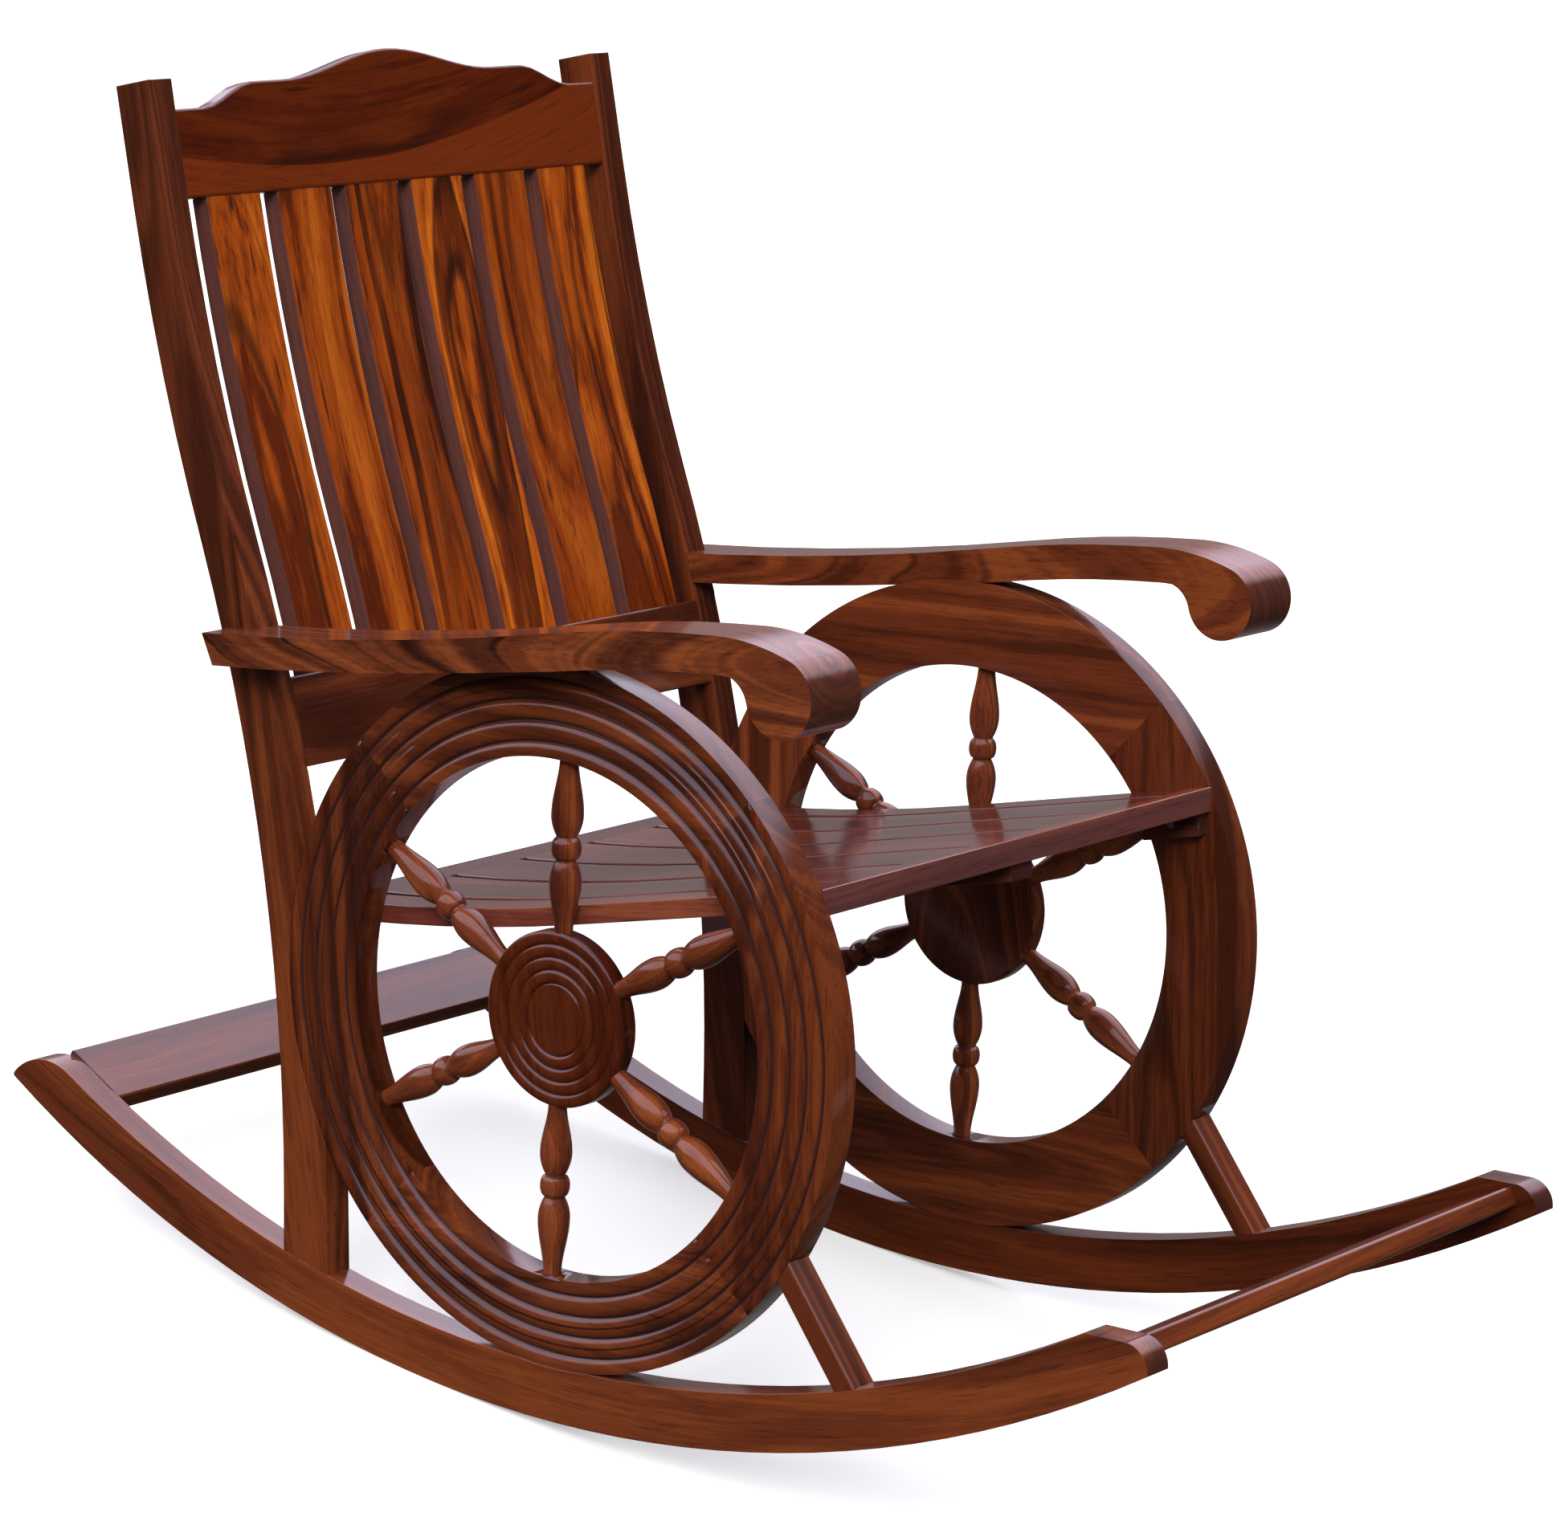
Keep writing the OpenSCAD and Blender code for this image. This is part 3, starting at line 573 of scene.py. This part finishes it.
def floor():
    bm = bmesh.new()
    bmesh.ops.create_grid(bm, x_segments=1, y_segments=1, size=60)
    data = bpy.data.meshes.new("floor")
    bm.to_mesh(data)
    bm.free()
    obj = bpy.data.objects.new("floor", data)
    obj.location.z = CAD_BOX[0].z
    bpy.context.scene.collection.objects.link(obj)
    material = bpy.data.materials.new("floor_paper")
    material.use_nodes = True
    shader = material.node_tree.nodes["Principled BSDF"]
    shader.inputs["Base Color"].default_value = (0.97, 0.96, 0.93, 1)
    shader.inputs["Emission Color"].default_value = (1, 1, 1, 1)
    shader.inputs["Emission Strength"].default_value = 0.40
    shader.inputs["Roughness"].default_value = 0.9
    shader.inputs["Specular IOR Level"].default_value = 0.1
    data.materials.append(material)
    obj.visible_glossy = obj.visible_diffuse = False   # the lacquer sees a dim room instead


def lamp(name, kind, place, target, energy, colour=(1, 1, 1), **settings):
    data = bpy.data.lights.new(name, kind)
    data.energy, data.color = energy, colour
    for key, value in settings.items():
        setattr(data, key, value)
    obj = bpy.data.objects.new(name, data)
    obj.location = place
    obj.rotation_euler = (Vector(target) - Vector(place)).to_track_quat("-Z", "Y").to_euler()
    obj.visible_camera = obj.visible_glossy = False
    bpy.context.scene.collection.objects.link(obj)


def sky():
    """Plain white behind the chair. The lacquer mirrors a bright ceiling that starts low behind the
    chair and high in front of it; the wood itself is lit by a softer, cool one."""
    world = bpy.data.worlds.new("studio")
    bpy.context.scene.world = world
    world.use_nodes = True
    tree = world.node_tree
    tree.nodes.clear()
    way = node(tree, "TexCoord").outputs["Generated"]
    x, y, z = node(tree, "SeparateXYZ", {0: way}).outputs
    tilted = maths(tree, "MULTIPLY_ADD", y, 0.35, z)
    behind = node(tree, "VectorMath", {0: way, 1: (0.78, 0.62, 0)}, operation="DOT_PRODUCT").outputs["Value"]
    low = mix(tree, smooth(tree, behind, 0.45, 0.85), (0.022, 0.020, 0.020, 1), (0.20, 0.18, 0.18, 1))
    mirrored = mix(tree, smooth(tree, tilted, 0.36, 0.56), low, (1.75, 1.60, 2.00, 1))
    lighting = mix(tree, smooth(tree, z, 0.0, 0.6), (0.12, 0.11, 0.11, 1), (0.85, 0.88, 1.0, 1))
    ray = node(tree, "LightPath").outputs
    colour = mix(tree, ray["Is Diffuse Ray"], mirrored, lighting)
    colour = mix(tree, ray["Is Camera Ray"], colour, (1.0, 1.0, 1.0, 1))
    background = node(tree, "Background", {0: colour, 1: 1.0})
    node(tree, "OutputWorld", {0: background.outputs[0]})


def studio():
    floor()
    sky()
    lamp("key", "SUN", (-4.4, -2.7, 4.4), (0, 0, 0.5), 1.75, (1.0, 0.97, 0.93), angle=math.radians(24))
    lamp("back_light", "SPOT", (0.7, -2.6, 2.3), (0, 0.32, 0.95), 120, (1.0, 0.95, 0.88),
         spot_size=math.radians(19), spot_blend=0.5, shadow_soft_size=0.25)
    view = bpy.context.scene.view_settings
    view.view_transform = "Standard"


# ---------- build ----------

def build():
    make_camera()
    group = timber_group()
    trees = neighbours()
    turned = ("hub", "spoke")
    for name in sorted(NODES):
        if name in HIDDEN or name.startswith(turned):
            continue
        sawn(name, group, trees, random.Random("board " + name))
    for side in SIDES:
        hub(side, group, random.Random("hub " + side))
        for number in range(1, SPOKES + 1):
            spoke(side, number, group, random.Random(f"spoke {side} {number}"))
    joinery(group, random.Random("dowels"))
    studio()


build()
